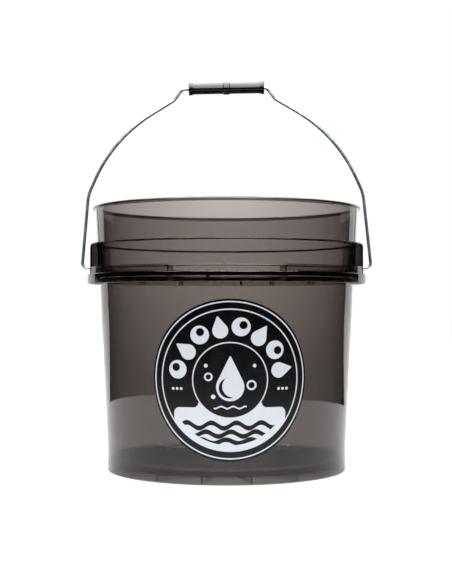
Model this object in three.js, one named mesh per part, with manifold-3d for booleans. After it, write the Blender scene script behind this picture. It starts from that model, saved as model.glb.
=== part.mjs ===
// Wash bucket with a wire bail: a smoke-tinted translucent moulded bucket, a bent steel
// wire bail hooked into two side ears, a plastic tube grip that turns on the bail, and a
// round vinyl label on the front of the wall.
// Millimetres, +Z up. The origin is on the ground under the middle of the bucket, the
// bail's pivots lie along X and the label faces -Y.

import * as THREE from 'three';
import { mergeVertices } from 'three/addons/utils/BufferGeometryUtils.js';
import Module from 'manifold-3d';

const wasm = await Module();
wasm.setup();

// ---- Driving dimensions ----

// Bucket wall
const bucketHeight = 296.8;
const lipRadius = 152.4;
const lipDepth = 3.6;
const lipChamfer = 1;
const wall = 2.2;
const neckTopRadius = 148.9;
const neckTaper = 0.0375;
const footRadius = 135.3;
const footHeight = 22;
const bodyTaper = 0.0459;

// Base
const floorUnderside = 8.6;
const floorThickness = 2.6;
const footRingWidth = 3.8;
const footChamfer = 0.6;
const cornerRadius = 7;
const baseRibCount = 16;
const baseRibInner = 70;
const baseRibThickness = 1.6;
const baseRibClearance = 1;

// Collar on the outside of the neck: upper ring, nesting step, lower flange with a skirt
const ringHeight = 253.8;
const ringThickness = 1.6;
const ringRadius = 156.4;
const stepTop = 228.6;
const stepBottom = 226.4;
const flangeTop = 220.8;
const flangeThickness = 4.2;
const flangeRadius = 158.4;
const flangeChamfer = 1.1;
const skirtBottom = 209.8;
const skirtThickness = 1.8;

// Bail ears and the low walls that stiffen the flange between them
const earReach = 151;
const earHalfWidth = 47.6;
const earThickness = 2;
const earCorner = 4.6;
const earRoot = 125;
const pivotHeight = 228.5;
const pivotHoleRadius = 2.9;
const bossRadius = 6;
const bossRise = 0.8;
const parapetTop = 228.4;
const parapetThickness = 1.8;
const parapetNearEar = 17.5;
const parapetGapHalfAngle = 22.8;
const skirtRibThickness = 1.6;
const skirtRibAngles = [-7.2, 22.8, 45, 67.5, 112.5, 135, 157.2, 172.8, 202.8, 225, 247.5, 292.5, 315, 337.2];

// Bail wire: corners of one half as distance from the middle, height and bend radius
const wireRadius = 1.7;
const bailTip = [147.8, pivotHeight];
const bailCorners = [
  [165.6, pivotHeight, 5],
  [157.4, 313.5, 48],
  [127.3, 379.5, 168],
  [57.8, 421.6, 6],
  [48.2, 434.3, 5],
];
const bailTopHeight = 434.3;
const bailLean = 0.0125;
const bailTilt = 0.019;

// Grip
const gripLength = 86.4;
const gripBoreRadius = 2.5;
const gripRadius = 6.15;
const gripEndRadius = 7.4;
const gripBandRadius = 7;
const gripBandHalfWidth = 3.3;
const gripEndFlat = 2.2;
const gripFlare = 3.6;
const gripEdge = 0.8;
const gripSlide = 2.4;

// Label
const labelRadius = 83.8;
const labelHeight = 108.6;
const labelAzimuth = 1.5;
const labelThickness = 0.4;
const labelGap = 0.3;

// Facets
const wallSegments = 80;
const wireSides = 8;
const wireSteps = 220;
const gripSegments = 24;
const holeSegments = 16;
const labelRings = 7;
const labelSegments = 48;

// ---- Solids ----

const degrees = THREE.MathUtils.degToRad;

// A closed mesh as a manifold-3d solid.
function solid(geometry) {
  const bare = geometry.clone();
  bare.deleteAttribute('normal');
  bare.deleteAttribute('uv');
  const merged = mergeVertices(bare, 1e-4);
  return new wasm.Manifold(new wasm.Mesh({
    numProp: 3,
    vertProperties: merged.attributes.position.array,
    triVerts: new Uint32Array(merged.index.array),
  }));
}

// A manifold-3d solid as a three.js geometry.
function geometryOf(body) {
  const mesh = body.getMesh();
  const geometry = new THREE.BufferGeometry();
  geometry.setAttribute('position', new THREE.BufferAttribute(mesh.vertProperties, 3));
  geometry.setIndex(new THREE.BufferAttribute(mesh.triVerts, 1));
  geometry.computeVertexNormals();
  return geometry;
}

// A profile of [radius, height] turned about Z, starting at the front (-Y).
function turned(profile, segments) {
  const points = profile.map(([radius, height]) => new THREE.Vector2(radius, height));
  return new THREE.LatheGeometry(points, segments).rotateX(Math.PI / 2);
}

// A stretch of ring wall between two radii and two heights; angles are from +X, in degrees.
function arcWall(inner, outer, bottom, top, fromAngle, toAngle) {
  const from = degrees(fromAngle);
  const to = degrees(toAngle);
  const shape = new THREE.Shape();
  shape.absarc(0, 0, outer, from, to, false);
  shape.absarc(0, 0, inner, to, from, true);
  const facets = Math.ceil((toAngle - fromAngle) * wallSegments / 720);
  const settings = { depth: top - bottom, bevelEnabled: false, curveSegments: facets };
  return new THREE.ExtrudeGeometry(shape, settings).translate(0, 0, bottom);
}

// An upright rib that runs outwards along a radius; the angle is from +X, in degrees.
function radialRib(inner, outer, bottom, top, thickness, angle) {
  const rib = new THREE.BoxGeometry(outer - inner, thickness, top - bottom);
  rib.translate((inner + outer) / 2, 0, (bottom + top) / 2);
  return rib.rotateZ(degrees(angle));
}

// A short cylinder along X.
function crossPin(radius, fromX, toX, height) {
  const pin = new THREE.CylinderGeometry(radius, radius, Math.abs(toX - fromX), holeSegments);
  return pin.rotateZ(Math.PI / 2).translate((fromX + toX) / 2, 0, height);
}

// ---- Bucket body ----

function bodyRadius(height) {
  return footRadius + Math.max(0, height - footHeight) * bodyTaper;
}

function neckRadius(height) {
  return neckTopRadius - (bucketHeight - lipDepth - height) * neckTaper;
}

// Half section of the moulding, from the axis under the floor, up the outside and down the
// inside to the axis above the floor.
function bucketProfile() {
  const floorTop = floorUnderside + floorThickness;
  const webBottom = flangeTop - flangeThickness;
  const ringTop = ringHeight + ringThickness / 2;
  const ringBottom = ringHeight - ringThickness / 2;
  const lipBottom = bucketHeight - lipDepth;
  const footInside = footRadius - footRingWidth;
  const outside = [
    [0, floorUnderside],
    [footInside - 1, floorUnderside],
    [footInside, 0],
    [footRadius - footChamfer, 0],
    [footRadius, footChamfer],
    [footRadius, footHeight],
    [bodyRadius(webBottom), webBottom],
    [flangeRadius - skirtThickness, webBottom],
    [flangeRadius - skirtThickness, skirtBottom],
    [flangeRadius, skirtBottom],
    [flangeRadius, flangeTop - flangeChamfer],
    [flangeRadius - flangeChamfer, flangeTop],
    [bodyRadius(flangeTop), flangeTop],
    [bodyRadius(stepBottom), stepBottom],
    [neckRadius(stepTop), stepTop],
    [neckRadius(ringBottom), ringBottom],
    [ringRadius, ringBottom],
    [ringRadius, ringTop],
    [neckRadius(ringTop), ringTop],
    [neckTopRadius, lipBottom],
    [lipRadius, lipBottom],
    [lipRadius, bucketHeight - lipChamfer],
    [lipRadius - lipChamfer, bucketHeight],
  ];
  const inside = [
    [neckTopRadius - wall + lipChamfer, bucketHeight],
    [neckTopRadius - wall, bucketHeight - lipChamfer],
    [neckRadius(stepTop) - wall, stepTop],
    [bodyRadius(stepBottom) - wall, stepBottom],
    [footRadius - wall, footHeight],
    [footRadius - wall, floorTop + cornerRadius],
    [footRadius - wall - cornerRadius * 0.3, floorTop + cornerRadius * 0.3],
    [footRadius - wall - cornerRadius, floorTop],
    [0, floorTop],
  ];
  return [...outside, ...inside];
}

// Everything inside the wall's outer face, moved outwards by grown, from the flange to the ring.
function wallCore(grown) {
  const low = flangeTop - 2 * flangeThickness;
  const high = ringHeight + ringThickness;
  return solid(turned([
    [0, low],
    [bodyRadius(low) + grown, low],
    [bodyRadius(stepBottom) + grown, stepBottom],
    [neckRadius(stepTop) + grown, stepTop],
    [neckRadius(high) + grown, high],
    [0, high],
  ], wallSegments));
}

// A block that stands out along +X, with its upper outer edge rounded.
function earBlock(reach, halfWidth, bottom, top, corner) {
  const shape = new THREE.Shape();
  shape.moveTo(earRoot, bottom);
  shape.lineTo(reach, bottom);
  shape.lineTo(reach, top - corner);
  shape.absarc(reach - corner, top - corner, corner, 0, Math.PI / 2, false);
  shape.lineTo(earRoot, top);
  const settings = { depth: 2 * halfWidth, bevelEnabled: false, curveSegments: 8 };
  return solid(new THREE.ExtrudeGeometry(shape, settings).rotateX(Math.PI / 2).translate(0, halfWidth, 0));
}

// Adds the ear at +X: a flat panel with an end wall at each side, closed above by the ring,
// which is trimmed flush with it. The flange is open behind the panel, so the ear drains.
function withEar(body) {
  const top = ringHeight + ringThickness / 2;
  const low = flangeTop - 0.5;
  const outside = earBlock(earReach, earHalfWidth, low, top, earCorner);
  const hollow = earBlock(earReach - earThickness, earHalfWidth - earThickness, flangeTop - 1.5 * flangeThickness,
    top - ringThickness, earCorner - earThickness);
  const beyond = solid(new THREE.BoxGeometry(40, 2 * earHalfWidth, top - pivotHeight)
    .translate(earReach, 0, (top + pivotHeight) / 2)).subtract(outside);
  const boss = solid(crossPin(bossRadius, earReach - earThickness, earReach + bossRise, pivotHeight));
  const hole = solid(crossPin(pivotHoleRadius, neckRadius(stepTop) + 1, earReach + 5, pivotHeight));
  return body.subtract(beyond)
    .add(outside.subtract(wallCore(-wall / 2)))
    .subtract(hollow.subtract(wallCore(1)))
    .add(boss)
    .subtract(hole);
}

// Low walls on the flange's edge, from each ear to the open stretch at the front and back.
function parapets() {
  const outer = flangeRadius - flangeChamfer + 0.2;
  const inner = outer - parapetThickness;
  const ribInner = bodyRadius(flangeTop) - wall / 2;
  const ribTop = stepBottom + 0.5;
  const low = flangeTop - 1;
  const nearGap = 90 - parapetGapHalfAngle;
  const walls = [];
  for (const quarter of [0, 180]) {
    walls.push(arcWall(inner, outer, low, parapetTop, quarter + parapetNearEar, quarter + nearGap));
    walls.push(arcWall(inner, outer, low, parapetTop, quarter - nearGap, quarter - parapetNearEar));
    for (const angle of [quarter + nearGap, quarter - nearGap]) {
      walls.push(radialRib(ribInner, outer - wall / 4, low, ribTop, parapetThickness, angle));
    }
  }
  return walls;
}

// Ribs under the flange, between the wall and the skirt; angles are from the front.
function skirtRibs() {
  const inner = bodyRadius(skirtBottom) - wall / 2;
  const outer = flangeRadius - skirtThickness / 2;
  return skirtRibAngles.map((angle) =>
    radialRib(inner, outer, skirtBottom + 0.8, flangeTop - 1, skirtRibThickness, angle - 90));
}

// Ribs under the floor, from an inner ring out to the foot.
function baseRibs() {
  const low = baseRibClearance;
  const high = floorUnderside + floorThickness / 2;
  const ring = turned([
    [baseRibInner - baseRibThickness, low],
    [baseRibInner, low],
    [baseRibInner, high],
    [baseRibInner - baseRibThickness, high],
    [baseRibInner - baseRibThickness, low],
  ], wallSegments / 2);
  const ribs = [ring];
  for (let i = 0; i < baseRibCount; i += 1) {
    const angle = (i + 0.5) * 360 / baseRibCount;
    ribs.push(radialRib(baseRibInner - baseRibThickness / 2, footRadius - footRingWidth / 2, low, high,
      baseRibThickness, angle));
  }
  return ribs;
}

function bucketBody() {
  const added = [...parapets(), ...skirtRibs(), ...baseRibs()];
  let body = solid(turned(bucketProfile(), wallSegments));
  for (const piece of added) {
    body = body.add(solid(piece));
  }
  const halfTurn = [0, 0, 180];
  body = withEar(body).rotate(halfTurn);
  return geometryOf(withEar(body).rotate(halfTurn));
}

// ---- Bail ----

// The wire's centre line in the XZ plane. The finished wire leans and tilts slightly, as a
// bail that has been sprung into its ears does; its hooked ends stay level.
class BailLine extends THREE.Curve {
  constructor(outline) {
    super();
    this.outline = outline;
  }

  getPoint(t) {
    const flat = this.outline.getPoint(t);
    const rise = (flat.y - pivotHeight) / (bailTopHeight - pivotHeight);
    const x = flat.x - bailLean * (flat.y - pivotHeight);
    const z = flat.y + bailTilt * flat.x * rise;
    return new THREE.Vector3(x, 0, z);
  }
}

// A path through corners [x, z, bend radius], straight between bends.
function bentPath(start, corners, end) {
  const path = new THREE.Path();
  path.moveTo(start[0], start[1]);
  corners.forEach(([x, z, radius], index) => {
    const corner = new THREE.Vector2(x, z);
    const before = new THREE.Vector2(...(index > 0 ? corners[index - 1] : start)).sub(corner).normalize();
    const after = new THREE.Vector2(...(corners[index + 1] ?? end)).sub(corner).normalize();
    const half = Math.acos(THREE.MathUtils.clamp(before.dot(after), -1, 1)) / 2;
    const setback = radius / Math.tan(half);
    const centre = before.clone().add(after).normalize().multiplyScalar(radius / Math.sin(half)).add(corner);
    const from = before.clone().multiplyScalar(setback).add(corner).sub(centre);
    const to = after.clone().multiplyScalar(setback).add(corner).sub(centre);
    path.lineTo(from.x + centre.x, from.y + centre.y);
    path.absarc(centre.x, centre.y, radius, from.angle(), to.angle(), before.cross(after) > 0);
  });
  path.lineTo(end[0], end[1]);
  return path;
}

function bailLine() {
  const left = bailCorners.map(([x, z, radius]) => [-x, z, radius]);
  const right = [...bailCorners].reverse();
  return new BailLine(bentPath([-bailTip[0], bailTip[1]], [...left, ...right], bailTip));
}

function bailWire() {
  const section = new THREE.Shape();
  section.absarc(0, 0, wireRadius, 0, Math.PI * 2, false);
  return new THREE.ExtrudeGeometry(section, {
    steps: wireSteps,
    curveSegments: wireSides / 2,
    extrudePath: bailLine(),
  });
}

// ---- Grip ----

// Tube with flared ends and a raised band round the middle, its bore along X.
function bailGrip() {
  const half = gripLength / 2;
  const flareStart = half - gripEndFlat - gripFlare;
  const upperHalf = [
    [gripBandRadius, gripBandHalfWidth - gripEdge],
    [gripRadius, gripBandHalfWidth + gripEdge],
    [gripRadius, flareStart],
    [gripEndRadius, half - gripEndFlat],
    [gripEndRadius, half - gripEdge],
    [gripEndRadius - gripEdge, half],
    [gripBoreRadius, half],
  ];
  const lowerHalf = upperHalf.map(([radius, along]) => [radius, -along]).reverse();
  const profile = [...lowerHalf, ...upperHalf, lowerHalf[0]];
  return turned(profile, gripSegments).rotateY(Math.PI / 2);
}

// ---- Label ----

// A thin disc wrapped on the tapered wall, as two skins joined at the edge.
function frontLabel() {
  const positions = [];
  const triangles = [];
  const skins = [labelGap, labelGap + labelThickness];
  const perSkin = 1 + labelRings * labelSegments;
  for (const lift of skins) {
    for (let i = 0; i < perSkin; i += 1) {
      const ring = Math.ceil(i / labelSegments);
      const turn = ((i - 1) % labelSegments) * 2 * Math.PI / labelSegments;
      const reach = ring / labelRings * labelRadius;
      const height = labelHeight + reach * Math.sin(turn);
      const around = degrees(labelAzimuth) + reach * Math.cos(turn) / bodyRadius(labelHeight);
      const radius = bodyRadius(height) + lift;
      positions.push(radius * Math.sin(around), -radius * Math.cos(around), height);
    }
  }
  const at = (skin, ring, step) =>
    skin * perSkin + (ring === 0 ? 0 : 1 + (ring - 1) * labelSegments + step % labelSegments);
  for (let step = 0; step < labelSegments; step += 1) {
    triangles.push(at(1, 0, 0), at(1, 1, step), at(1, 1, step + 1));
    triangles.push(at(0, 0, 0), at(0, 1, step + 1), at(0, 1, step));
    for (let ring = 1; ring < labelRings; ring += 1) {
      const [a, b] = [at(1, ring, step), at(1, ring, step + 1)];
      const [c, d] = [at(1, ring + 1, step + 1), at(1, ring + 1, step)];
      triangles.push(a, d, c, a, c, b);
      const [e, f] = [at(0, ring, step), at(0, ring, step + 1)];
      const [g, h] = [at(0, ring + 1, step + 1), at(0, ring + 1, step)];
      triangles.push(e, g, h, e, f, g);
    }
    const [p, q] = [at(0, labelRings, step), at(0, labelRings, step + 1)];
    const [r, s] = [at(1, labelRings, step + 1), at(1, labelRings, step)];
    triangles.push(p, q, r, p, r, s);
  }
  const geometry = new THREE.BufferGeometry();
  geometry.setAttribute('position', new THREE.Float32BufferAttribute(positions, 3));
  geometry.setIndex(triangles);
  geometry.computeVertexNormals();
  return geometry;
}

// ---- Assembly ----

const smokePlastic = new THREE.MeshStandardMaterial({
  color: 0x5c5452, roughness: 0.12, metalness: 0, transparent: true, opacity: 0.6,
});
const zincWire = new THREE.MeshStandardMaterial({ color: 0x8f979c, roughness: 0.32, metalness: 1 });
const blackPlastic = new THREE.MeshStandardMaterial({ color: 0x0c0c0d, roughness: 0.2, metalness: 0 });
const printedVinyl = new THREE.MeshStandardMaterial({ color: 0x101114, roughness: 0.3, metalness: 0 });

function piece(name, geometry, material) {
  const mesh = new THREE.Mesh(geometry, material);
  mesh.name = name;
  return mesh;
}

const bucket = new THREE.Group();
bucket.add(piece('bucket_body', bucketBody(), smokePlastic));
bucket.add(piece('front_label', frontLabel(), printedVinyl));
bucket.add(piece('bail_wire', bailWire(), zincWire));

const grip = piece('bail_grip', bailGrip(), blackPlastic);
const straightMiddle = -bailLean * (bailTopHeight - pivotHeight);
grip.position.set(straightMiddle + gripSlide, 0, bailTopHeight + bailTilt * gripSlide);
grip.rotation.y = -Math.atan(bailTilt);
bucket.add(grip);

export default bucket;
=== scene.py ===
from math import atan, cos, degrees, pi, radians, sin, sqrt, tan

import bmesh
import bpy
from mathutils import Matrix, Vector


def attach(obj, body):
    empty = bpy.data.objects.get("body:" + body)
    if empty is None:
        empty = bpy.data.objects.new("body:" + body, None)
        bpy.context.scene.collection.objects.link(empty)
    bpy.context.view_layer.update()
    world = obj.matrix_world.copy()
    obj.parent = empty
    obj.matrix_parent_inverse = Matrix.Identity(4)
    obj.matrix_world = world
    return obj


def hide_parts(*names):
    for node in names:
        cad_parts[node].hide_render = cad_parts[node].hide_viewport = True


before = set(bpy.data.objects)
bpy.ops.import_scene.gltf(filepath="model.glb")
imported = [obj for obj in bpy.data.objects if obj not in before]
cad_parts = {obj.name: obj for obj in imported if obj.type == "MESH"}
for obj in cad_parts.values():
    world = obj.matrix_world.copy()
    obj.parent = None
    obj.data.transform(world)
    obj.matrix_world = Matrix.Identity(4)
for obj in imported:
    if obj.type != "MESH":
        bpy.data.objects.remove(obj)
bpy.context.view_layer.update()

scene = bpy.context.scene


# ---- Camera ----
# A long lens a little over a metre in front of the bucket, level with the lower part of its
# neck, so the rim and the flange are seen slightly from below.

camera_distance = 1.3422
camera_height = 0.1859
camera_side = -0.0007
camera_pitch_up = 0.636
lens_length = 72.2

camera_data = bpy.data.cameras.new("camera")
camera_data.lens = lens_length
camera_data.sensor_width = 36
camera_data.clip_start = 0.05
camera = bpy.data.objects.new("camera", camera_data)
camera.location = (camera_side, -camera_distance, camera_height)
camera.rotation_euler = (radians(90 + camera_pitch_up), 0, 0)
scene.collection.objects.link(camera)
scene.camera = camera


# ---- Studio ----
# A white table and room, black flags round the front that only the gloss picks up, a sheet behind
# the bucket with a painted pool of light that only light through the plastic picks up, and a softbox
# overhead.

table_size = 9.0
table_edge_radius = 0.72
table_middle = (-0.03, 0.05)
table_glow = 0.3
room_light = 1.0
flag_radius = 3.2
flag_opening = 46.5
flag_height = 3.4
flag_glow = 0.014
backdrop_distance = 2.0
backdrop_width = 6.0
backdrop_height = 4.0
# The painted pool of light on the backdrop: its middle, its narrowing, and how bright it glows near and
# far.
painted_spot_middle = (0, 2.0, 0.6)
painted_spot_narrowing = (1.2, 1, 1)
painted_spot_radius = 0.1
painted_spot_glow = 1.12
painted_spot_fade_radius = 0.7
painted_spot_fade_glow = 0.4
softbox_height = 1.65
softbox_half_width = 0.9
softbox_front = 2.3
softbox_back = 0.9
softbox_shine = 8.0
overhead_power = 16


def stage_piece(name, points, faces, material, seen_by=None):
    """A part of the studio. seen_by limits it to the named kinds of light ray."""
    mesh = bpy.data.meshes.new(name)
    mesh.from_pydata(points, [], faces)
    mesh.materials.append(material)
    piece = bpy.data.objects.new(name, mesh)
    scene.collection.objects.link(piece)
    if seen_by is not None:
        for kind in ("camera", "diffuse", "glossy", "transmission", "volume_scatter", "shadow"):
            setattr(piece, "visible_" + kind, kind in seen_by)
    return piece


def glow_material(name, colour, strength):
    material = bpy.data.materials.new(name)
    material.use_nodes = True
    nodes = material.node_tree.nodes
    nodes.clear()
    glow = nodes.new("ShaderNodeEmission")
    glow.inputs["Color"].default_value = (*colour, 1)
    glow.inputs["Strength"].default_value = strength
    output = nodes.new("ShaderNodeOutputMaterial")
    material.node_tree.links.new(glow.outputs[0], output.inputs["Surface"])
    return material


def flag_material(name):
    """Black for light that has been reflected, and as bright as the room for light that has
    only passed through the clear plastic."""
    material = glow_material(name, (1, 1, 1), room_light)
    tree = material.node_tree
    glow = tree.nodes["Emission"]
    path = tree.nodes.new("ShaderNodeLightPath")
    reflected = tree.nodes.new("ShaderNodeMapRange")
    reflected.inputs["To Min"].default_value = room_light
    reflected.inputs["To Max"].default_value = flag_glow
    tree.links.new(path.outputs["Glossy Depth"], reflected.inputs["Value"])
    tree.links.new(reflected.outputs["Result"], glow.inputs["Strength"])
    return material


def backdrop_material(name):
    """A painted pool of light: glows brightest round a point behind the bucket and dimmer away from it;
    black once reflected.
    """
    material = flag_material(name)
    tree = material.node_tree
    narrowed = tree.nodes.new("ShaderNodeVectorMath")
    narrowed.operation = "MULTIPLY"
    narrowed.inputs[1].default_value = painted_spot_narrowing
    tree.links.new(tree.nodes.new("ShaderNodeNewGeometry").outputs["Position"], narrowed.inputs[0])
    away = tree.nodes.new("ShaderNodeVectorMath")
    away.operation = "DISTANCE"
    away.inputs[1].default_value = painted_spot_middle
    tree.links.new(narrowed.outputs[0], away.inputs[0])
    # Painted pool of light: the glow is strongest inside the spot radius and fades outwards.
    spot = tree.nodes.new("ShaderNodeMapRange")
    spot.inputs["From Min"].default_value = painted_spot_radius
    spot.inputs["From Max"].default_value = painted_spot_fade_radius
    spot.inputs["To Min"].default_value = painted_spot_glow
    spot.inputs["To Max"].default_value = painted_spot_fade_glow
    tree.links.new(away.outputs["Value"], spot.inputs["Value"])
    tree.links.new(spot.outputs["Result"], tree.nodes["Map Range"].inputs["To Min"])
    return material


def flat_square(x0, x1, y0, y1, z):
    return [(x0, y0, z), (x1, y0, z), (x1, y1, z), (x0, y1, z)]


table_paint = bpy.data.materials.new("table_paint")
table_paint.use_nodes = True
table_shader = table_paint.node_tree.nodes["Principled BSDF"]
table_shader.inputs["Base Color"].default_value = (0.9, 0.9, 0.9, 1)
table_shader.inputs["Roughness"].default_value = 0.7
table_shader.inputs["Specular IOR Level"].default_value = 0.2
table_shader.inputs["Emission Color"].default_value = (1, 1, 1, 1)
table_shader.inputs["Emission Strength"].default_value = table_glow
half_table = table_size / 2
one_face = [(0, 1, 2, 3)]
stage_piece("table", flat_square(-half_table, half_table, -half_table, half_table, 0), one_face,
            table_paint)

flag_cloth = flag_material("flag_cloth")
flag_steps = 60
table_edge_height = 0.0004
flag_points = []
for step in range(flag_steps + 1):
    turn = radians(90 + flag_opening + (360 - 2 * flag_opening) * step / flag_steps)
    edge_x = table_middle[0] + table_edge_radius * cos(turn)
    edge_y = table_middle[1] + table_edge_radius * sin(turn)
    far = (flag_radius * cos(turn), flag_radius * sin(turn))
    flag_points += [(edge_x, edge_y, table_edge_height), (*far, table_edge_height), (*far, flag_height)]
flag_faces = []
for step in range(flag_steps):
    for side in (0, 1):
        here = 3 * step + side
        flag_faces.append((here, here + 1, here + 4, here + 3))
stage_piece("room_flag", flag_points, flag_faces, flag_cloth, ["glossy", "transmission"])
stage_piece("ceiling_flag", flat_square(-flag_radius, flag_radius, -flag_radius, flag_radius, flag_height),
            one_face, flag_cloth, ["glossy", "transmission"])
half_backdrop = backdrop_width / 2
backdrop = [(-half_backdrop, backdrop_distance, 0), (half_backdrop, backdrop_distance, 0),
            (half_backdrop, backdrop_distance, backdrop_height),
            (-half_backdrop, backdrop_distance, backdrop_height)]
# The backdrop's material paints a pool of light as glow; it is not lit by a lamp.
paper = backdrop_material("backdrop_painted_glow")
stage_piece("backdrop", backdrop, one_face, paper, ["transmission"])
# The table seen through the plastic is a sheet with the same painted pool of light.
stage_piece("table_top", flat_square(-half_backdrop, half_backdrop, -half_backdrop, backdrop_distance,
            2 * table_edge_height), one_face, paper, ["transmission"])
softbox_cloth = glow_material("softbox_cloth", (1, 1, 1), softbox_shine)
stage_piece("softbox", flat_square(-softbox_half_width, softbox_half_width, -softbox_front, softbox_back,
            softbox_height), one_face, softbox_cloth, ["glossy"])

overhead_data = bpy.data.lights.new("overhead", "AREA")
overhead_data.shape = "RECTANGLE"
overhead_data.size = 2 * softbox_half_width
overhead_data.size_y = softbox_front + softbox_back
overhead_data.energy = overhead_power
overhead = bpy.data.objects.new("overhead", overhead_data)
overhead.location = (0, (softbox_back - softbox_front) / 2, softbox_height)
overhead.visible_glossy = False
overhead.visible_camera = False
overhead.visible_transmission = False
scene.collection.objects.link(overhead)

room = bpy.data.worlds.new("room")
room.use_nodes = True
room_shader = room.node_tree.nodes["Background"]
room_shader.inputs["Color"].default_value = (1, 1, 1, 1)
room_shader.inputs["Strength"].default_value = room_light
scene.world = room
scene.view_settings.view_transform = "Standard"
scene.cycles.max_bounces = 24
scene.cycles.transmission_bounces = 24


# ---- Bucket ----
# One injection moulding in smoke-tinted clear plastic: a tapered wall with a thick lip, a
# thin upper ring, a nesting step, a flange with a hanging skirt, two ears and a ribbed foot.

bucket_height = 0.2968
lip_radius = 0.1524
lip_depth = 0.0036
wall = 0.0022
neck_top_radius = 0.1489
neck_taper = 0.0375
foot_radius = 0.1353
foot_height = 0.022
body_taper = 0.0459
floor_underside = 0.0086
floor_thickness = 0.0026
foot_ring_width = 0.0038
floor_corner = 0.007
ring_height = 0.2538
ring_thickness = 0.0016
ring_radius = 0.1564
step_top = 0.2286
step_bottom = 0.2264
flange_top = 0.2208
flange_thickness = 0.0042
flange_radius = 0.1584
flange_rounding = 0.0013
web_fillet = 0.0008
skirt_fillet = 0.0006
skirt_bottom = 0.2098
skirt_thickness = 0.0018
ear_reach = 0.151
ear_half_width = 0.0476
ear_thickness = 0.002
ear_corner = 0.0046
ear_root = 0.125
pivot_height = 0.2285
pivot_hole_radius = 0.0029
boss_radius = 0.006
boss_rise = 0.0008
parapet_top = 0.2284
parapet_thickness = 0.0018
parapet_gap_half_angle = 22.8
parapet_near_ear = 17.5
skirt_rib_thickness = 0.0016
skirt_rib_angles = [-7.2, 22.8, 45, 67.5, 112.5, 135, 157.2, 172.8, 202.8, 225, 247.5, 292.5, 315, 337.2]
base_rib_count = 16
base_rib_inner = 0.07
base_rib_thickness = 0.0016
base_rib_clearance = 0.001
gate_radius = 0.0035
gate_depth = 0.0012
edge_rounding = 0.0004
lip_rounding = 0.0024
lip_inner_rounding = 0.0009
foot_draft = 0.0008
foot_blend = 0.02
step_blend = 0.003
flange_root = 0.0008
thin_edge = 0.0005
fine_edge = 0.0006
soft_edge = 0.0007
wall_facets = 256


def body_radius(height):
    return foot_radius + max(0, height - foot_height) * body_taper


def neck_radius(height):
    return neck_top_radius - (bucket_height - lip_depth - height) * neck_taper


def rounded(corners, arc_step=15):
    """A closed outline through (across, up, rounding) corners, with an arc at each rounding."""
    outline = []
    for i, (across, up, rounding) in enumerate(corners):
        corner = Vector((across, up))
        before = Vector(corners[i - 1][:2]) - corner
        after = Vector(corners[(i + 1) % len(corners)][:2]) - corner
        if rounding == 0:
            outline.append(corner)
            continue
        half = before.angle(after) / 2
        before.normalize()
        after.normalize()
        setback = rounding / tan(half)
        centre = corner + (before + after).normalized() * rounding / sin(half)
        start = corner + before * setback - centre
        turn = start.angle_signed(corner + after * setback - centre)
        steps = max(1, round(abs(degrees(turn)) / arc_step))
        for step in range(steps + 1):
            outline.append(centre + start @ Matrix.Rotation(turn * step / steps, 2))
    return outline


def bucket_outline():
    """Half section of the moulding, from the axis under the floor, up the outside, over the
    lip and down the inside to the axis above the floor."""
    floor_top = floor_underside + floor_thickness
    web_bottom = flange_top - flange_thickness
    ring_top = ring_height + ring_thickness / 2
    ring_bottom = ring_height - ring_thickness / 2
    lip_bottom = bucket_height - lip_depth
    foot_inside = foot_radius - foot_ring_width
    corners = [
        (0, floor_underside, 0),
        (foot_inside - foot_draft, floor_underside, fine_edge),
        (foot_inside, 0, soft_edge),
        (foot_radius, 0, soft_edge),
        (foot_radius, foot_height, foot_blend),
        (body_radius(web_bottom), web_bottom, web_fillet),
        (flange_radius - skirt_thickness, web_bottom, skirt_fillet),
        (flange_radius - skirt_thickness, skirt_bottom, thin_edge),
        (flange_radius, skirt_bottom, thin_edge),
        (flange_radius, flange_top, flange_rounding),
        (body_radius(flange_top), flange_top, flange_root),
        (body_radius(step_bottom), step_bottom, step_blend),
        (neck_radius(step_top), step_top, step_blend),
        (neck_radius(ring_bottom), ring_bottom, thin_edge),
        (ring_radius, ring_bottom, thin_edge),
        (ring_radius, ring_top, fine_edge),
        (neck_radius(ring_top), ring_top, fine_edge),
        (neck_top_radius, lip_bottom, soft_edge),
        (lip_radius, lip_bottom, fine_edge),
        (lip_radius, bucket_height, lip_rounding),
        (neck_top_radius - wall, bucket_height, lip_inner_rounding),
        (neck_radius(step_top) - wall, step_top, step_blend),
        (body_radius(step_bottom) - wall, step_bottom, step_blend),
        (foot_radius - wall, foot_height, foot_blend),
        (foot_radius - wall, floor_top, floor_corner),
        (0, floor_top, 0),
    ]
    return rounded(corners[1:-1] + [corners[-1], corners[0]])


def link(tree, source, target):
    tree.links.new(source, target)


def math_node(tree, operation, first, second=None):
    """A Math node; first and second are sockets or numbers."""
    node = tree.nodes.new("ShaderNodeMath")
    node.operation = operation
    for value, socket in zip((first, second), node.inputs):
        if isinstance(value, bpy.types.NodeSocket):
            link(tree, value, socket)
        elif value is not None:
            socket.default_value = value
    return node.outputs[0]


def plus(tree, first, second):
    return math_node(tree, "ADD", first, second)


def minus(tree, first, second):
    return math_node(tree, "SUBTRACT", first, second)


def times(tree, first, second):
    return math_node(tree, "MULTIPLY", first, second)


def new_tree(name, inputs):
    """A geometry tree with a Geometry input and named inputs, given as (name, type)."""
    tree = bpy.data.node_groups.new(name, "GeometryNodeTree")
    tree.interface.new_socket("Geometry", in_out="INPUT", socket_type="NodeSocketGeometry")
    for label, kind in inputs:
        tree.interface.new_socket(label, in_out="INPUT", socket_type="NodeSocket" + kind)
    tree.interface.new_socket("Geometry", in_out="OUTPUT", socket_type="NodeSocketGeometry")
    return tree, tree.nodes.new("NodeGroupInput"), tree.nodes.new("NodeGroupOutput")


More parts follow.
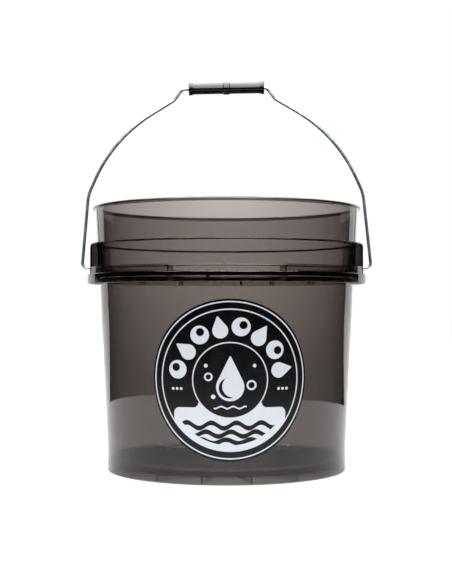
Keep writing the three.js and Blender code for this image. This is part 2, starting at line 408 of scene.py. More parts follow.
def lathe_tree():
    """Turns an outline, given as points (across, 0, up) in order, about Z from the front."""
    tree, given, result = new_tree("lathe", [("Facets", "Int"), ("Finish", "Material")])
    count = tree.nodes.new("GeometryNodeAttributeDomainSize")
    link(tree, given.outputs["Geometry"], count.inputs["Geometry"])
    rings = count.outputs["Point Count"]
    across = plus(tree, given.outputs["Facets"], 1)
    closed = plus(tree, rings, 1)
    grid = tree.nodes.new("GeometryNodeMeshGrid")
    link(tree, closed, grid.inputs["Vertices X"])
    link(tree, across, grid.inputs["Vertices Y"])
    index = tree.nodes.new("GeometryNodeInputIndex").outputs[0]
    row = math_node(tree, "FLOOR", math_node(tree, "DIVIDE", plus(tree, index, 0.25), across))
    column = minus(tree, index, times(tree, row, across))
    wrapped = math_node(tree, "MODULO", plus(tree, row, 0.25), rings)
    place = tree.nodes.new("GeometryNodeSampleIndex")
    place.data_type = "FLOAT_VECTOR"
    link(tree, given.outputs["Geometry"], place.inputs["Geometry"])
    link(tree, tree.nodes.new("GeometryNodeInputPosition").outputs[0], place.inputs["Value"])
    link(tree, math_node(tree, "FLOOR", wrapped), place.inputs["Index"])
    turn = tree.nodes.new("ShaderNodeVectorRotate")
    turn.rotation_type = "Z_AXIS"
    link(tree, place.outputs[0], turn.inputs["Vector"])
    step = math_node(tree, "DIVIDE", 2 * pi, given.outputs["Facets"])
    angle = minus(tree, times(tree, column, step), pi / 2)
    link(tree, angle, turn.inputs["Angle"])
    move = tree.nodes.new("GeometryNodeSetPosition")
    link(tree, grid.outputs["Mesh"], move.inputs["Geometry"])
    link(tree, turn.outputs[0], move.inputs["Position"])
    weld = tree.nodes.new("GeometryNodeMergeByDistance")
    weld.inputs["Distance"].default_value = 1e-6
    link(tree, move.outputs[0], weld.inputs["Geometry"])
    finish = tree.nodes.new("GeometryNodeSetMaterial")
    link(tree, weld.outputs[0], finish.inputs["Geometry"])
    link(tree, given.outputs["Finish"], finish.inputs["Material"])
    link(tree, finish.outputs[0], result.inputs["Geometry"])
    return tree


def run_tree(piece, tree, values):
    """Gives the piece a tree with its inputs set by identifier."""
    modifier = piece.modifiers.new(tree.name, "NODES")
    modifier.node_group = tree
    for item in tree.interface.items_tree:
        if item.in_out == "INPUT" and item.name in values:
            modifier[item.identifier] = values[item.name]


def settle(piece):
    """Turns the piece, with its modifiers, into a plain mesh at the origin."""
    shape = bpy.data.meshes.new_from_object(piece.evaluated_get(bpy.context.evaluated_depsgraph_get()))
    name = piece.name
    bpy.data.objects.remove(piece)
    piece = bpy.data.objects.new(name, shape)
    scene.collection.objects.link(piece)
    return piece


def smooth(piece, sharp_angle=32):
    """Smooth shading that keeps flat faces flat and leaves corners over sharp_angle crisp."""
    piece.data.shade_smooth()
    piece.data.set_sharp_from_angle(angle=radians(sharp_angle))
    weigh = piece.modifiers.new("even_shading", "WEIGHTED_NORMAL")
    weigh.mode = "FACE_AREA"
    weigh.keep_sharp = True
    return settle(piece)


def mesh_piece(name, points, faces=()):
    mesh = bpy.data.meshes.new(name)
    mesh.from_pydata([tuple(point) for point in points], [], list(faces))
    piece = bpy.data.objects.new(name, mesh)
    scene.collection.objects.link(piece)
    return piece


def face_outwards(mesh):
    shape = bmesh.new()
    shape.from_mesh(mesh)
    bmesh.ops.recalc_face_normals(shape, faces=shape.faces)
    shape.to_mesh(mesh)
    shape.free()


lathe = lathe_tree()


def turned(name, outline, facets, material):
    piece = mesh_piece(name, [(point[0], 0, point[1]) for point in outline])
    run_tree(piece, lathe, {"Facets": facets, "Finish": material})
    piece = settle(piece)
    face_outwards(piece.data)
    return piece


def arc_walls(name, inner, outer, bottom, top, spans, facet_angle=1.5):
    """Stretches of ring wall; spans are pairs of angles from +X, in degrees."""
    points, faces = [], []
    for start, end in spans:
        steps = max(2, round((end - start) / facet_angle))
        first = len(points)
        for step in range(steps + 1):
            turn = radians(start + (end - start) * step / steps)
            for radius, height in ((inner, bottom), (outer, bottom), (outer, top), (inner, top)):
                points.append((radius * cos(turn), radius * sin(turn), height))
        for step in range(steps):
            here = first + 4 * step
            for side in range(4):
                other = (side + 1) % 4
                faces.append((here + side, here + other, here + 4 + other, here + 4 + side))
        last = first + 4 * steps
        faces.append((first + 3, first + 2, first + 1, first))
        faces.append((last, last + 1, last + 2, last + 3))
    piece = mesh_piece(name, points, faces)
    face_outwards(piece.data)
    return piece


def rib_tree():
    """A box on each given point of the unit circle, standing outwards along its radius."""
    sizes = [(label, "Float") for label in ("Inner", "Outer", "Low", "High", "Thickness")]
    tree, given, result = new_tree("ribs", sizes + [("Finish", "Material")])
    inner, outer, low, high, thickness = [given.outputs[label] for label, _ in sizes]
    size = tree.nodes.new("ShaderNodeCombineXYZ")
    link(tree, minus(tree, outer, inner), size.inputs["X"])
    link(tree, thickness, size.inputs["Y"])
    link(tree, minus(tree, high, low), size.inputs["Z"])
    box = tree.nodes.new("GeometryNodeMeshCube")
    link(tree, size.outputs[0], box.inputs["Size"])
    middle = tree.nodes.new("ShaderNodeCombineXYZ")
    half_way = math_node(tree, "DIVIDE", plus(tree, inner, outer), 2)
    link(tree, minus(tree, half_way, 1), middle.inputs["X"])
    link(tree, math_node(tree, "DIVIDE", plus(tree, low, high), 2), middle.inputs["Z"])
    shift = tree.nodes.new("GeometryNodeTransform")
    link(tree, box.outputs["Mesh"], shift.inputs["Geometry"])
    link(tree, middle.outputs[0], shift.inputs["Translation"])
    face = tree.nodes.new("FunctionNodeAlignRotationToVector")
    face.axis = "X"
    link(tree, tree.nodes.new("GeometryNodeInputPosition").outputs[0], face.inputs["Vector"])
    copies = tree.nodes.new("GeometryNodeInstanceOnPoints")
    link(tree, given.outputs["Geometry"], copies.inputs["Points"])
    link(tree, shift.outputs[0], copies.inputs["Instance"])
    link(tree, face.outputs[0], copies.inputs["Rotation"])
    real = tree.nodes.new("GeometryNodeRealizeInstances")
    link(tree, copies.outputs[0], real.inputs["Geometry"])
    finish = tree.nodes.new("GeometryNodeSetMaterial")
    link(tree, real.outputs[0], finish.inputs["Geometry"])
    link(tree, given.outputs["Finish"], finish.inputs["Material"])
    link(tree, finish.outputs[0], result.inputs["Geometry"])
    return tree


def ribs(name, angles, inner, outer, low, high, thickness, material):
    """Ribs at the given angles from the front, in degrees, with rounded edges."""
    points = [(sin(radians(angle)), -cos(radians(angle)), 0) for angle in angles]
    piece = mesh_piece(name, points)
    sizes = {"Inner": inner, "Outer": outer, "Low": low, "High": high, "Thickness": thickness}
    run_tree(piece, rib_tree(), {**sizes, "Finish": material})
    soften(piece)
    return settle(piece)


def soften(piece):
    """A small rounding on the piece's sharp edges."""
    bevel = piece.modifiers.new("edge", "BEVEL")
    bevel.width = edge_rounding
    bevel.segments = 2
    bevel.limit_method = "ANGLE"
    bevel.angle_limit = radians(40)


def cross_pins(name, radius, inner, outer, height, sides=32):
    """A short cylinder along X at each side of the bucket."""
    points, faces = [], []
    for side in (1, -1):
        first = len(points)
        for across in (inner, outer):
            for step in range(sides):
                turn = 2 * pi * step / sides
                points.append((side * across, radius * cos(turn), height + radius * sin(turn)))
        for step in range(sides):
            other = (step + 1) % sides
            faces.append((first + step, first + other, first + sides + other, first + sides + step))
        faces.append(tuple(first + step for step in range(sides)))
        faces.append(tuple(first + sides + step for step in reversed(range(sides))))
    piece = mesh_piece(name, points, faces)
    face_outwards(piece.data)
    return piece


def combine(piece, others, operation):
    for other in others:
        join = piece.modifiers.new(other.name, "BOOLEAN")
        join.solver = "MANIFOLD"
        join.operation = operation
        join.object = other


smoke_plastic = bpy.data.materials.new("clear_smoke")
ear_low = flange_top - 0.0005
ring_top = ring_height + ring_thickness / 2


def ear_blocks(name, reach, half_width, bottom, top, corner):
    """A block at each side, standing out along X with its upper outer edge rounded."""
    corners = [(ear_root, bottom, 0), (reach, bottom, 0), (reach, top, corner), (ear_root, top, 0)]
    outline = rounded(corners, 9)
    count = len(outline)
    points, faces = [], []
    for side in (1, -1):
        first = len(points)
        for end in (-half_width, half_width):
            points += [(side * point[0], end, point[1]) for point in outline]
        for step in range(count):
            other = (step + 1) % count
            faces.append((first + step, first + other, first + count + other, first + count + step))
        faces.append(tuple(range(first, first + count)))
        faces.append(tuple(range(first + 2 * count - 1, first + count - 1, -1)))
    piece = mesh_piece(name, points, faces)
    face_outwards(piece.data)
    return piece


def wall_core(name, grown):
    """Everything inside the wall's outer face, moved outwards by grown, at the ears' height."""
    low, high = flange_top - 2 * flange_thickness, ring_height + ring_thickness
    corners = [(0, low), (body_radius(low) + grown, low), (body_radius(step_bottom) + grown, step_bottom),
               (neck_radius(step_top) + grown, step_top), (neck_radius(high) + grown, high), (0, high)]
    return turned(name, [Vector(corner) for corner in corners], wall_facets, smoke_plastic)


wall_middle = wall_core("wall_middle", -wall / 2)
wall_clear = wall_core("wall_clear", 0.001)
hollow_size = (ear_reach - ear_thickness, ear_half_width - ear_thickness,
               flange_top - 1.5 * flange_thickness, ring_top - ring_thickness, ear_corner - ear_thickness)
ear_hollow = ear_blocks("ear_hollow", *hollow_size)
ears = ear_blocks("ears", ear_reach, ear_half_width, ear_low, ring_top, ear_corner)
soften(ears)
ears = settle(ears)
ears_solid = ears.copy()
ears_solid.data = ears.data.copy()
scene.collection.objects.link(ears_solid)
combine(ears, [ear_hollow, wall_middle], "DIFFERENCE")
pockets = ear_blocks("pockets", *hollow_size)
combine(pockets, [wall_clear], "DIFFERENCE")
beyond = ear_blocks("beyond", ear_reach + 0.02, ear_half_width, pivot_height, ring_top, 0)
combine(beyond, [ears_solid], "DIFFERENCE")
bosses = cross_pins("bosses", boss_radius, ear_reach - ear_thickness, ear_reach + boss_rise, pivot_height)
soften(bosses)
hole_start = neck_radius(step_top) + 0.001
holes = cross_pins("holes", pivot_hole_radius, hole_start, ear_reach + 0.005, pivot_height)

parapet_outer = flange_radius - 0.0009
parapet_inner = parapet_outer - parapet_thickness
parapet_spans = []
for quarter in (0, 180):
    near_gap = 90 - parapet_gap_half_angle
    parapet_spans.append((quarter + parapet_near_ear, quarter + near_gap))
    parapet_spans.append((quarter - near_gap, quarter - parapet_near_ear))
wall_root = flange_top - 0.001
parapets = arc_walls("parapets", parapet_inner, parapet_outer, wall_root, parapet_top, parapet_spans)
soften(parapets)
gap_ends = [-parapet_gap_half_angle, parapet_gap_half_angle]
parapet_ribs = ribs("parapet_ribs", gap_ends + [180 + end for end in gap_ends],
                    body_radius(flange_top) - wall / 2, parapet_outer - wall / 4, wall_root,
                    step_bottom + 0.0005, parapet_thickness, smoke_plastic)
skirt_ribs = ribs("skirt_ribs", skirt_rib_angles, body_radius(skirt_bottom) - wall / 2,
                  flange_radius - skirt_thickness / 2, skirt_bottom + 0.0008, wall_root,
                  skirt_rib_thickness, smoke_plastic)

floor_middle = floor_underside + floor_thickness / 2
base_rib_angles = [(i + 0.5) * 360 / base_rib_count - 90 for i in range(base_rib_count)]
base_ribs = ribs("base_ribs", base_rib_angles, base_rib_inner - base_rib_thickness / 2,
                 foot_radius - foot_ring_width / 2, base_rib_clearance, floor_middle,
                 base_rib_thickness, smoke_plastic)
ring_inner = base_rib_inner - base_rib_thickness
ring_corners = [(base_rib_inner, base_rib_clearance), (base_rib_inner, floor_middle),
                (ring_inner, floor_middle), (ring_inner, base_rib_clearance)]
base_ring = turned("base_ring", rounded([(*corner, edge_rounding) for corner in ring_corners], 45),
                   wall_facets // 2, smoke_plastic)
gate_corners = [(0, floor_underside - gate_depth, 0), (gate_radius, floor_underside - gate_depth, 0.0005),
                (gate_radius + 0.0008, floor_middle, 0), (0, floor_middle, 0)]
gate = turned("gate", rounded(gate_corners), 32, smoke_plastic)

bucket = turned("bucket", bucket_outline(), wall_facets, smoke_plastic)
added = [ears, parapets, parapet_ribs, skirt_ribs, base_ribs, base_ring, gate]
combine(bucket, [beyond], "DIFFERENCE")
combine(bucket, added, "UNION")
combine(bucket, [pockets], "DIFFERENCE")
combine(bucket, [bosses], "UNION")
combine(bucket, [holes], "DIFFERENCE")
bucket = settle(bucket)
for piece in added + [pockets, holes, bosses, beyond, ear_hollow, ears_solid, wall_middle, wall_clear]:
    bpy.data.objects.remove(piece)
for face in bucket.data.polygons:
    face.material_index = 0
bucket.data.materials.clear()
bucket.data.materials.append(smoke_plastic)
bucket = smooth(bucket)

smoke_colour = (0.25, 0.15, 0.10)
smoke_depth = 400.0
plastic_ior = 1.5


def add_node(tree, kind, values=None, **settings):
    """A shader node with its settings, and its inputs from sockets or values."""
    node = tree.nodes.new("ShaderNode" + kind)
    for name, value in settings.items():
        setattr(node, name, value)
    for name, value in (values or {}).items():
        if isinstance(value, bpy.types.NodeSocket):
            link(tree, value, node.inputs[name])
        else:
            node.inputs[name].default_value = value
    return node


def ramp(tree, value, low, high, to_low=0.0, to_high=1.0):
    """The value mapped smoothly from low..high to to_low..to_high."""
    values = {"Value": value, "From Min": low, "From Max": high, "To Min": to_low, "To Max": to_high}
    return add_node(tree, "MapRange", values, interpolation_type="SMOOTHSTEP").outputs["Result"]


def start_material(material):
    """The material's tree, its Principled shader and its Object coordinates."""
    material.use_nodes = True
    tree = material.node_tree
    place = tree.nodes.new("ShaderNodeTexCoord").outputs["Object"]
    return tree, tree.nodes["Principled BSDF"], place


def noise(tree, place, scale, detail=2.0, roughness=0.5, stretch=None):
    if stretch is not None:
        place = add_node(tree, "Mapping", {"Vector": place, "Scale": stretch}).outputs[0]
    values = {"Vector": place, "Scale": scale, "Detail": detail, "Roughness": roughness}
    return add_node(tree, "TexNoise", values).outputs["Fac"]


def mix(tree, amount, first, second):
    """The first colour turning into the second by the amount."""
    values = {"Fac": amount}
    for name, colour in (("Color1", first), ("Color2", second)):
        values[name] = colour if isinstance(colour, bpy.types.NodeSocket) else (*colour, 1)
    return add_node(tree, "MixRGB", values).outputs[0]


def emboss(tree, shader, relief, strength, depth):
    """Bumps the surface by the relief, up to the depth."""
    bump = add_node(tree, "Bump", {"Height": relief, "Strength": strength, "Distance": depth})
    link(tree, bump.outputs[0], shader.inputs["Normal"])


def around_and_up(tree, place, radius):
    """Coordinates unrolled from the wall: distance around, a constant, and height."""
    split = add_node(tree, "SeparateXYZ", {"Vector": place})
    turn = math_node(tree, "ARCTAN2", split.outputs["X"], split.outputs["Y"])
    around = times(tree, turn, radius)
    height = split.outputs["Z"]
    return add_node(tree, "CombineXYZ", {"X": around, "Z": height}).outputs[0], height


def scratches(tree, place, direction, scale, amount):
    """Thin broken lines along one direction, 1 on a line."""
    lines = noise(tree, place, scale, 1.0, 0.4, direction)
    patches = noise(tree, place, scale / 40, 2.0, 0.6)
    thin = ramp(tree, math_node(tree, "ABSOLUTE", minus(tree, lines, 0.5)), 0.0, 0.006, 1, 0)
    return times(tree, thin, ramp(tree, patches, 0.6 - amount, 0.75 - amount))


def paint_smoke_plastic():
    tree, shader, place = start_material(smoke_plastic)
    shader.inputs["Base Color"].default_value = (0.98, 0.98, 0.98, 1)
    shader.inputs["Transmission Weight"].default_value = 1.0
    shader.inputs["IOR"].default_value = plastic_ior
    unrolled, height = around_and_up(tree, place, foot_radius)

    haze = ramp(tree, noise(tree, place, 24, 3.0), 0.35, 0.75, 0.0, 0.035)
    rubbed_low = ramp(tree, height, 0.004, 0.03, 1, 0)
    rubbed_step = ramp(tree, math_node(tree, "ABSOLUTE", minus(tree, height, 0.196)), 0, 0.014, 1, 0)
    rubbed = math_node(tree, "MAXIMUM", rubbed_low, times(tree, rubbed_step, 0.6))
    upright = scratches(tree, unrolled, (1, 1, 0.05), 900, 0.04)
    rubbing = times(tree, upright, plus(tree, rubbed, 0.12))
    swirls = scratches(tree, place, (1, 1, 1), 260, -0.03)
    worn = plus(tree, rubbing, times(tree, swirls, 0.25))
    rough = plus(tree, times(tree, worn, 0.22), haze)
    link(tree, plus(tree, rough, 0.018), shader.inputs["Roughness"])

    flow = noise(tree, unrolled, 14, 2.0, 0.5, (1, 1, 0.45))
    skin = noise(tree, place, 700, 2.0)
    relief = plus(tree, times(tree, flow, 1.0), times(tree, skin, 0.01))
    relief = minus(tree, relief, times(tree, worn, 0.02))
    emboss(tree, shader, relief, 0.25, 0.0006)

    tint = add_node(tree, "VolumeAbsorption", {"Color": (*smoke_colour, 1), "Density": smoke_depth})
    link(tree, tint.outputs[0], tree.nodes["Material Output"].inputs["Volume"])


paint_smoke_plastic()
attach(bucket, "bucket")
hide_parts("bucket_body")


# ---- Front label ----
# A round die-cut sticker of printed vinyl, wrapped on the front of the wall: black, with
# silver rings, a ring of drops and bubbles, one big drop and a foaming wave.

label_radius = 0.0838
label_height = 0.1086
label_azimuth = 1.5
label_thickness = 0.0004
label_gap = 0.0003
label_rings = 30
label_facets = 160
label_edge_rounding = 0.00012
outer_ring_radius = 80.9
second_ring_radius = 73.1
inner_ring_radius = 38.9
band_pieces = 16
wave_rows = ((-46.6, 2.8, 0.0), (-55.4, 2.4, 1.4), (-63.0, 1.9, 2.6))


def label_skin(lift, shrink, outwards):
    """One skin of the label as rings of points from the middle, with the print's place."""
    points, places = [], []
    for ring in range(label_rings + 1):
        out = ring / label_rings * (label_radius - shrink)
        for step in range(label_facets if ring else 1):
            turn = 2 * pi * step / label_facets
            across, up = out * cos(turn), out * sin(turn)
            around = radians(label_azimuth) + across / body_radius(label_height)
            radius = body_radius(label_height + up) + lift
            points.append((radius * sin(around), -radius * cos(around), label_height + up))
            places.append((across * 1000, up * 1000, 1 if outwards else 0))
    return points, places


def make_label():
    skins = [(label_gap, 0, False), (label_gap + label_edge_rounding, 0, False),
             (label_gap + label_thickness - label_edge_rounding, 0, True),
             (label_gap + label_thickness, label_edge_rounding, True)]
    back, back_places = label_skin(*skins[0])
    front, front_places = label_skin(*skins[3])
    points, places = back + front, back_places + front_places
    per_skin = len(back)

    def at(skin, ring, step):
        return skin * per_skin + (0 if ring == 0 else 1 + (ring - 1) * label_facets + step % label_facets)

    faces, sides = [], []
    for skin in (0, 1):
        for step in range(label_facets):
            faces.append((at(skin, 0, 0), at(skin, 1, step), at(skin, 1, step + 1)))
            for ring in range(1, label_rings):
                inner = [at(skin, ring, step), at(skin, ring, step + 1)]
                outer = [at(skin, ring + 1, step), at(skin, ring + 1, step + 1)]
                faces.append((inner[0], outer[0], outer[1], inner[1]))
    rims = [per_skin - label_facets]
    for lift, shrink, outwards in skins[1:3]:
        rim, rim_places = label_skin(lift, shrink, outwards)
        rims.append(len(points))
        points += rim[-label_facets:]
        places += rim_places[-label_facets:]
    rims.append(2 * per_skin - label_facets)
    for low, high in zip(rims, rims[1:]):
        for step in range(label_facets):
            other = (step + 1) % label_facets
            faces.append((low + step, low + other, high + other, high + step))
    piece = mesh_piece("label", points, faces)
    face_outwards(piece.data)
    printed = piece.data.attributes.new("printed", "FLOAT_VECTOR", "POINT")
    printed.data.foreach_set("vector", [value for place in places for value in place])
    return smooth(piece)


class Field:
    """A number that varies over the print, in millimetres; below zero is inside a shape."""

    def __init__(self, tree, value):
        self.tree = tree
        self.value = value

    def worked(self, operation, other=None):
        other = other.value if isinstance(other, Field) else other
        return Field(self.tree, math_node(self.tree, operation, self.value, other))

    def __add__(self, other):
        return self.worked("ADD", other)

    def __sub__(self, other):
        return self.worked("SUBTRACT", other)

    def __mul__(self, other):
        return self.worked("MULTIPLY", other)

    def __neg__(self):
        return self.worked("MULTIPLY", -1)

    def size(self):
        return self.worked("ABSOLUTE")

    def both(self, *others):
        result = self
        for other in others:
            result = result.worked("MAXIMUM", other)
        return result

    def either(self, *others):
        result = self
        for other in others:
            result = result.worked("MINIMUM", other)
        return result


def reach(across, up):
    return (across * across + up * up).worked("SQRT")


def disc(across, up, at_across, at_up, radius):
    return reach(across - at_across, up - at_up) - radius


def drop(across, up, bulb, tip, length):
    """A drop with its round end at the middle and its tip straight up."""
    slope = (bulb - tip) / length
    rise = sqrt(1 - slope * slope)
    side = across.size() * rise + up * slope - bulb
    along = up * rise - across.size() * slope
    flank = side.both(-along, along - rise * length)
    return disc(across, up, 0, 0, bulb).either(disc(across, up, 0, length, tip), flank)


def label_print(across, up):
    """The silver ink's shape, in millimetres from the label's middle: rings, the band of drops
    and bubbles, the foam with its waves, and the big drop with its bubbles and ripple."""
    out = reach(across, up)
    outer_ring = (out - outer_ring_radius).size() - 0.66
    second_ring = (out - second_ring_radius).size() - 0.66
    inner_ring = (out - inner_ring_radius).size() - 0.6

    sector = 2 * pi / band_pieces
    angle = up.worked("ARCTAN2", across)
    count = (angle * (1 / sector)).worked("FLOOR")
    turned_back = angle - (count + 0.5) * sector
    local_across = out * turned_back.worked("SINE")
    local_out = out * turned_back.worked("COSINE")
    odd = (count + 64).worked("MODULO", 2)
    band_drop = drop(local_across, local_out - 52.0, 8.0, 0.9, 14.0)
    bubble = disc(local_across, local_out, 0, 56.0, 9.6)
    bubble_core = disc(local_across, local_out, -2.0, 58.2, 4.2)
    bubble = bubble.both(-bubble_core)
    mixed = band_drop * (odd * -1 + 1) + bubble * odd
    top_band = mixed.both(-up + 0.4)

    aside = across.size()
    shoulder = (up + 28.2).both(aside - 53.8).either(
        (up + 34.2).both(aside - 59.8), disc(aside, up, 53.8, -34.2, 6.0))
    neck = (up + 23.2).both(aside - 38.2, -disc(aside, up, 38.2, -23.2, 5.0))
    foam = shoulder.either(neck).both(out - second_ring_radius, -out + inner_ring_radius)
    for level, height, phase in wave_rows:
        swell = (across * 0.24 + phase).worked("SINE") * height
        wave = ((up - level - swell).size() - 2.5).both(out - 67.0)
        foam = foam.both(-wave)

    big_drop = drop(across, up + 7.0, 14.5, 0.8, 31.0)
    shine = disc(across, up, -1.2, -8.0, 10.6).both(-disc(across, up, 3.0, -6.4, 11.2))
    big_drop = big_drop.both(-shine)
    left_bubble = disc(across, up, -22.5, 3.5, 4.4).both(-disc(across, up, -22.5, 3.5, 2.7))
    right_bubble = disc(across, up, 22.0, -5.0, 5.2).both(-disc(across, up, 22.0, -5.0, 3.3))
    specks = disc(across.size(), up, 25.0, 15.0, 1.9).either(disc(across, up, -17.5, -17.0, 2.3))
    ripple = ((up + 28.0 - (across * 0.5).worked("SINE") * 1.1).size() - 0.8).both(across.size() - 17.0)
    side_dots = disc((across.size() - 56.0).size(), up + 9.0, 4.5, 0, 1.5).either(
        disc(across.size(), up + 9.0, 56.0, 0, 1.5))
    return outer_ring.either(second_ring, inner_ring, top_band, foam, big_drop, left_bubble,
                             right_bubble, specks, ripple, side_dots)


def paint_label():
    material = bpy.data.materials.new("vinyl_print")
    tree, shader, place = start_material(material)
    spot = add_node(tree, "SeparateXYZ", {"Vector": add_node(
        tree, "Attribute", attribute_name="printed").outputs["Vector"]})
    across, up = Field(tree, spot.outputs["X"]), Field(tree, spot.outputs["Y"])
    silver = ramp(tree, label_print(across, up).value, -0.18, 0.18, 1, 0)
    front = ramp(tree, spot.outputs["Z"], 0.45, 0.55)
    silver = times(tree, silver, front)

    cloud = noise(tree, place, 90, 3.0)
    grain = noise(tree, place, 2600, 2.0)
    ink = mix(tree, cloud, (0.0006, 0.0007, 0.0013), (0.0016, 0.0015, 0.0022))
    foil = mix(tree, grain, (0.52, 0.55, 0.60), (0.72, 0.75, 0.80))
    paper = mix(tree, cloud, (0.55, 0.55, 0.54), (0.66, 0.66, 0.65))
    face = mix(tree, silver, ink, foil)
    colour = mix(tree, front, paper, face)
    link(tree, colour, shader.inputs["Base Color"])

    shader.inputs["Specular IOR Level"].default_value = 0.26
    wear = scratches(tree, place, (1, 1, 1), 300, 0.0)
    rough = ramp(tree, cloud, 0.3, 0.7, 0.2, 0.28)
    rough = plus(tree, rough, times(tree, silver, 0.1))
    link(tree, plus(tree, rough, times(tree, wear, 0.2)), shader.inputs["Roughness"])
    link(tree, times(tree, silver, 0.25), shader.inputs["Metallic"])
    relief = plus(tree, times(tree, silver, 0.5), times(tree, grain, 0.06))
    relief = minus(tree, relief, times(tree, wear, 0.15))
    emboss(tree, shader, relief, 0.4, 0.00008)
    return material


label = make_label()
label.data.materials.append(paint_label())
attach(label, "bucket")
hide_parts("front_label")


# ---- Bail ----
# One length of zinc-plated steel wire, bent to a hoop on a former and sprung into the ears:
# its ends are turned inwards through the two holes, and it leans and tilts slightly.

wire_radius = 0.0017
bail_tip = (0.1478, pivot_height)
bail_corners = [(0.1656, pivot_height, 0.005), (0.1574, 0.3135, 0.048), (0.1273, 0.3795, 0.168),
                (0.0578, 0.4216, 0.006), (0.0482, 0.4343, 0.005)]
bail_top_height = 0.4343
bail_lean = 0.0125
bail_tilt = 0.019
wire_sides = 20
wire_bend_step = 2.5
wire_straight_step = 0.004
wire_end_chamfer = 0.0005


def bent_line(corners):
    """Points along a line through corners (x, z, bend radius), with its first and last ends."""
    line = [Vector(corners[0][:2])]
    for before, here, after in zip(corners, corners[1:], corners[2:]):
        corner = Vector(here[:2])
        back = (Vector(before[:2]) - corner).normalized()
        onward = (Vector(after[:2]) - corner).normalized()
        half = back.angle(onward) / 2
        centre = corner + (back + onward).normalized() * here[2] / sin(half)
        start = corner + back * here[2] / tan(half) - centre
        turn = start.angle_signed(corner + onward * here[2] / tan(half) - centre)
        steps = max(2, round(abs(degrees(turn)) / wire_bend_step))
        for step in range(steps + 1):
            line.append(centre + start @ Matrix.Rotation(turn * step / steps, 2))
    line.append(Vector(corners[-1][:2]))
    return line


def leaned(x, z):
    """A point of the drawn outline where the sprung wire has it."""
    rise = (z - pivot_height) / (bail_top_height - pivot_height)
    return Vector((x - bail_lean * (z - pivot_height), 0, z + bail_tilt * x * rise))


def bail_line():
    left = [(-x, z, bend) for x, z, bend in bail_corners]
    corners = [(-bail_tip[0], bail_tip[1], 0)] + left + bail_corners[::-1] + [(*bail_tip, 0)]
    line = bent_line(corners)
    points = [line[0], line[0].lerp(line[1], wire_end_chamfer / (line[1] - line[0]).length)]
    for start, end in zip(line, line[1:]):
        steps = max(1, round((end - start).length / wire_straight_step))
        points += [start.lerp(end, step / steps) for step in range(1, steps + 1)]
    return [leaned(*point) for point in points]


def wire_tree():
    """A round section swept along the given line, with its place along and around stored."""
    inputs = [("Radius", "Float"), ("Sides", "Int"), ("Finish", "Material")]
    tree, given, result = new_tree("drawn_wire", inputs)
    along = tree.nodes.new("GeometryNodeSplineParameter").outputs["Length"]
    keep_along = tree.nodes.new("GeometryNodeStoreNamedAttribute")
    keep_along.inputs["Name"].default_value = "along"
    link(tree, given.outputs["Geometry"], keep_along.inputs["Geometry"])
    link(tree, along, keep_along.inputs["Value"])
    section = tree.nodes.new("GeometryNodeCurvePrimitiveCircle")
    link(tree, given.outputs["Sides"], section.inputs["Resolution"])
    link(tree, given.outputs["Radius"], section.inputs["Radius"])
    keep_around = tree.nodes.new("GeometryNodeStoreNamedAttribute")
    keep_around.inputs["Name"].default_value = "around"
    link(tree, section.outputs["Curve"], keep_around.inputs["Geometry"])
    link(tree, tree.nodes.new("GeometryNodeSplineParameter").outputs["Length"], keep_around.inputs["Value"])
    sweep = tree.nodes.new("GeometryNodeCurveToMesh")
    sweep.inputs["Fill Caps"].default_value = True
    link(tree, keep_along.outputs[0], sweep.inputs["Curve"])
    link(tree, keep_around.outputs[0], sweep.inputs["Profile Curve"])
    finish = tree.nodes.new("GeometryNodeSetMaterial")
    link(tree, sweep.outputs[0], finish.inputs["Geometry"])
    link(tree, given.outputs["Finish"], finish.inputs["Material"])
    link(tree, finish.outputs[0], result.inputs["Geometry"])
    return tree


def paint_wire():
    material = bpy.data.materials.new("zinc_plated_wire")
    tree, shader, place = start_material(material)
    shader.inputs["Metallic"].default_value = 1.0
    along = add_node(tree, "Attribute", attribute_name="along").outputs["Fac"]
    around = add_node(tree, "Attribute", attribute_name="around").outputs["Fac"]
    drawn = add_node(tree, "CombineXYZ", {"X": times(tree, along, 25), "Y": around}).outputs[0]
    draw_lines = noise(tree, drawn, 1500, 2.0, 0.6, (0.02, 1, 1))
    cloud = noise(tree, place, 120, 3.0)
    spangle = noise(tree, place, 1400, 3.0, 0.7)
    dull = ramp(tree, cloud, 0.42, 0.66)
    bright = mix(tree, spangle, (0.34, 0.39, 0.44), (0.52, 0.57, 0.62))
    chalk = mix(tree, times(tree, dull, 0.5), bright, (0.27, 0.31, 0.35))
    link(tree, chalk, shader.inputs["Base Color"])
    rough = plus(tree, times(tree, dull, 0.14), times(tree, draw_lines, 0.14))
    link(tree, plus(tree, rough, 0.24), shader.inputs["Roughness"])
    relief = plus(tree, draw_lines, times(tree, spangle, 0.3))
    emboss(tree, shader, relief, 0.5, 0.00004)
    return material


def make_bail():
    line = bail_line()
    curve = bpy.data.curves.new("bail", "CURVE")
    curve.dimensions = "3D"
    spline = curve.splines.new("POLY")
    spline.points.add(len(line) - 1)
    for point, place in zip(spline.points, line):
        point.co = (*place, 1)
    for end in (0, -1):
        spline.points[end].radius = 1 - wire_end_chamfer / wire_radius
    piece = bpy.data.objects.new("bail", curve)
    scene.collection.objects.link(piece)
    run_tree(piece, wire_tree(), {"Radius": wire_radius, "Sides": wire_sides, "Finish": paint_wire()})
    piece = settle(piece)
    face_outwards(piece.data)
    return smooth(piece)


bail = make_bail()
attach(bail, "bail")
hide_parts("bail_wire")


# ---- Grip ----
# A black moulded tube threaded on the straight middle of the wire before the hoop is bent:
# flared ends, a raised band in the middle and a fine parting line along both sides.

grip_length = 0.0864
grip_bore_radius = 0.0025
grip_radius = 0.00615
grip_end_radius = 0.0074
grip_band_radius = 0.007
grip_band_half_width = 0.0033
grip_end_flat = 0.0022
grip_flare = 0.0036
grip_edge = 0.0008
grip_slide = 0.0024
grip_facets = 96
grip_parting_rise = 0.00012


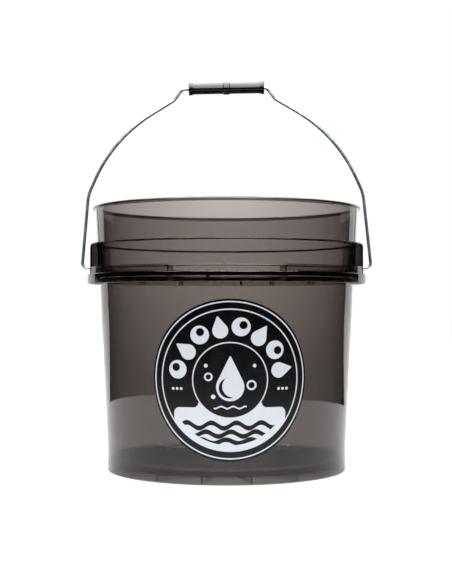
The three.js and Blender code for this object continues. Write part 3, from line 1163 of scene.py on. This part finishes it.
def grip_outline():
    """The tube's half section as (radius, distance along), round the outside and the bore."""
    half = grip_length / 2
    upper = [
        (grip_band_radius, grip_band_half_width, 0.0007),
        (grip_radius, grip_band_half_width + grip_edge, 0.0008),
        (grip_radius, half - grip_end_flat - grip_flare, 0.008),
        (grip_end_radius, half - grip_end_flat, 0.003),
        (grip_end_radius, half, 0.0009),
        (grip_bore_radius, half, 0.0005),
    ]
    lower = [(radius, -along, rounding) for radius, along, rounding in reversed(upper)]
    return rounded(lower + upper)


def paint_grip():
    material = bpy.data.materials.new("black_grip")
    tree, shader, place = start_material(material)
    shader.inputs["IOR"].default_value = 1.5
    cloud = noise(tree, place, 110, 3.0)
    skin = noise(tree, place, 2200, 2.0)
    wear = scratches(tree, place, (1, 1, 1), 700, 0.02)
    dust = ramp(tree, noise(tree, place, 900, 3.0, 0.7), 0.6, 0.75)
    base = mix(tree, cloud, (0.0008, 0.0008, 0.001), (0.0022, 0.0022, 0.0026))
    colour = mix(tree, times(tree, dust, 0.05), base, (0.25, 0.24, 0.23))
    link(tree, colour, shader.inputs["Base Color"])
    rough = plus(tree, ramp(tree, cloud, 0.35, 0.7, 0.14, 0.26), times(tree, wear, 0.25))
    link(tree, plus(tree, rough, times(tree, dust, 0.15)), shader.inputs["Roughness"])
    relief = minus(tree, times(tree, skin, 0.4), wear)
    emboss(tree, shader, relief, 0.35, 0.00003)
    return material


def make_grip():
    piece = turned("grip", grip_outline(), grip_facets, paint_grip())
    for vertex in piece.data.vertices:
        across = Vector(vertex.co[:2])
        on_parting = abs(vertex.co.x) < 1e-6 and across.length > grip_radius - 1e-5
        if on_parting:
            grown = across.normalized() * (across.length + grip_parting_rise)
            vertex.co.x, vertex.co.y = grown
    lay = Matrix.Rotation(pi / 2, 4, "Y")
    tilt = Matrix.Rotation(-atan(bail_tilt), 4, "Y")
    middle = leaned(0, bail_top_height)
    place = Matrix.Translation((middle.x + grip_slide, 0, bail_top_height + bail_tilt * grip_slide))
    piece.data.transform(place @ tilt @ lay)
    return smooth(piece)


grip = make_grip()
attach(grip, "grip")
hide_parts("bail_grip")
